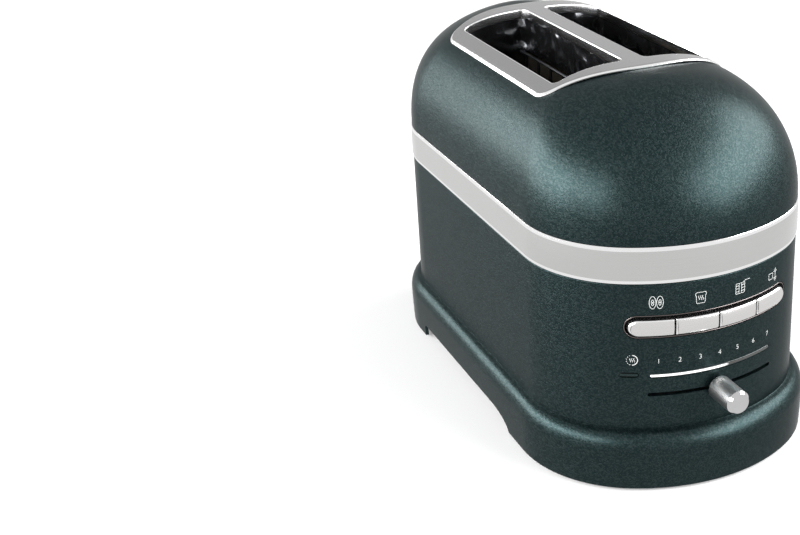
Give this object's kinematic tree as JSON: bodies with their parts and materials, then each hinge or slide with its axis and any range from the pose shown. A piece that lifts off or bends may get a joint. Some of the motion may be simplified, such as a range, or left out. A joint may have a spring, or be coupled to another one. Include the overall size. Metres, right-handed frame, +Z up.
{
  "type": "two-slice toaster",
  "caption": "Automatic two-slice toaster with a domed metal body, a brushed band, bowed control panel, shade slider, push buttons, motorised bread lift and rear crumb tray.",
  "frame": {"origin": "centre of the overall outline in plan, on the surface that the feet stand on", "axes": "+Z up, the control panel faces -Y, +X to the right seen from behind the panel"},
  "size_m": [0.177, 0.34, 0.218],
  "materials": {
    "green_paint": "dark green satin paint with a fine metallic grain",
    "brushed_band": "satin brushed, bright bevelled edges",
    "slot_trim": "satin brushed, bright bevelled edges",
    "black_liner": "glossy black enamel",
    "chrome": "polished chrome plate",
    "satin_chrome": "satin chrome plate",
    "black_plastic": "moulded black plastic",
    "black_rubber": "matt rubber",
    "sheet_steel": "bare bright sheet",
    "wire_steel": "bright drawn wire",
    "mica": "mica sheet with ribbon winding",
    "circuit_board": "green solder mask",
    "light_lens": "clear white lens, lit"
  },
  "bodies": {
    "housing": {"upper_shell": "green_paint", "lower_housing": "green_paint", "trim_band": "brushed_band", "slot_trim": "slot_trim", "base_plate": "black_plastic", "cord_grommet": "black_rubber", "chamber_front_plate": "sheet_steel", "chamber_rear_plate": "sheet_steel", "rubber_foot_front_left": "black_rubber", "rubber_foot_back_left": "black_rubber", "rubber_foot_front_right": "black_rubber", "rubber_foot_back_right": "black_rubber", "base_screw_front_left": "sheet_steel", "base_screw_back_left": "sheet_steel", "base_screw_front_right": "sheet_steel", "base_screw_back_right": "sheet_steel", "slot_liner_left": "black_liner", "slot_liner_right": "black_liner", "reflector_left": "sheet_steel", "reflector_right": "sheet_steel", "heater_outer_left": "mica", "heater_outer_right": "mica", "heater_inner_left": "mica", "heater_inner_right": "mica", "guide_rod_left": "sheet_steel", "guide_rod_right": "sheet_steel", "motor_bridge": "sheet_steel", "lift_motor": "sheet_steel", "button_bezel": "chrome", "panel_board": "circuit_board", "light_bar": "light_lens", "indicator_window": "black_plastic", "slider_track": "black_plastic", "control_board": "circuit_board"},
    "bread_lift": {"bread_carrier_left": "wire_steel", "bread_carrier_right": "wire_steel", "lift_bracket": "sheet_steel", "lift_rack": "black_plastic"},
    "pinion": {"motor_pinion": "black_plastic"},
    "outer_guide_left": {"guide_outer_left": "wire_steel"},
    "outer_guide_right": {"guide_outer_right": "wire_steel"},
    "inner_guide_left": {"guide_inner_left": "wire_steel"},
    "inner_guide_right": {"guide_inner_right": "wire_steel"},
    "tray": {"crumb_tray": "sheet_steel", "crumb_tray_handle": "green_paint"},
    "bagel_key": {"bagel_button": "satin_chrome"},
    "reheat_key": {"reheat_button": "satin_chrome"},
    "sandwich_key": {"sandwich_button": "satin_chrome"},
    "lift_key": {"lift_button": "satin_chrome"},
    "shade_slider": {"slider_carriage": "black_plastic", "slider_knob": "chrome"}
  },
  "joints": [
    {"name": "lift_slide", "type": "slide", "parent": "housing", "child": "bread_lift", "axis": [0, 0, 1], "range_m": [-0.075, 0]},
    {"name": "pinion_spin", "type": "hinge", "parent": "housing", "child": "pinion", "pos_m": [0.00875, -0.064, 0.118], "axis": [0, 1, 0], "range_deg": [-493, 0]},
    {"name": "outer_guide_left_tilt", "type": "hinge", "parent": "housing", "child": "outer_guide_left", "pos_m": [-0.046, 0.017, 0.032], "axis": [0, 1, 0], "range_deg": [0, 5.1]},
    {"name": "outer_guide_right_tilt", "type": "hinge", "parent": "housing", "child": "outer_guide_right", "pos_m": [0.046, 0.017, 0.032], "axis": [0, 1, 0], "range_deg": [-5.1, 0]},
    {"name": "inner_guide_left_tilt", "type": "hinge", "parent": "housing", "child": "inner_guide_left", "pos_m": [-0.012, 0.017, 0.032], "axis": [0, 1, 0], "range_deg": [-5.1, 0]},
    {"name": "inner_guide_right_tilt", "type": "hinge", "parent": "housing", "child": "inner_guide_right", "pos_m": [0.012, 0.017, 0.032], "axis": [0, 1, 0], "range_deg": [0, 5.1]},
    {"name": "tray_slide", "type": "slide", "parent": "housing", "child": "tray", "axis": [0, 1, 0], "range_m": [0, 0.225]},
    {"name": "bagel_press", "type": "slide", "parent": "housing", "child": "bagel_key", "axis": [0, 1, 0], "range_m": [0, 0.002], "stiffness_N_per_m": 600},
    {"name": "reheat_press", "type": "slide", "parent": "housing", "child": "reheat_key", "axis": [0, 1, 0], "range_m": [0, 0.002], "stiffness_N_per_m": 600},
    {"name": "sandwich_press", "type": "slide", "parent": "housing", "child": "sandwich_key", "axis": [0, 1, 0], "range_m": [0, 0.002], "stiffness_N_per_m": 600},
    {"name": "lift_press", "type": "slide", "parent": "housing", "child": "lift_key", "axis": [0, 1, 0], "range_m": [0, 0.002], "stiffness_N_per_m": 600},
    {"name": "shade_swing", "type": "hinge", "parent": "housing", "child": "shade_slider", "pos_m": [0, -0.04805, 0.0568], "axis": [0, 0, 1], "range_deg": [-20.4, 20.4]}
  ],
  "couplings": [
    {"joint": "pinion_spin", "follows": "lift_slide", "rad_per_m": 114.29},
    {"joint": "outer_guide_left_tilt", "follows": "lift_slide", "rad_per_m": -1.1636},
    {"joint": "outer_guide_right_tilt", "follows": "lift_slide", "rad_per_m": 1.1636},
    {"joint": "inner_guide_left_tilt", "follows": "lift_slide", "rad_per_m": 1.1636},
    {"joint": "inner_guide_right_tilt", "follows": "lift_slide", "rad_per_m": -1.1636}
  ]
}
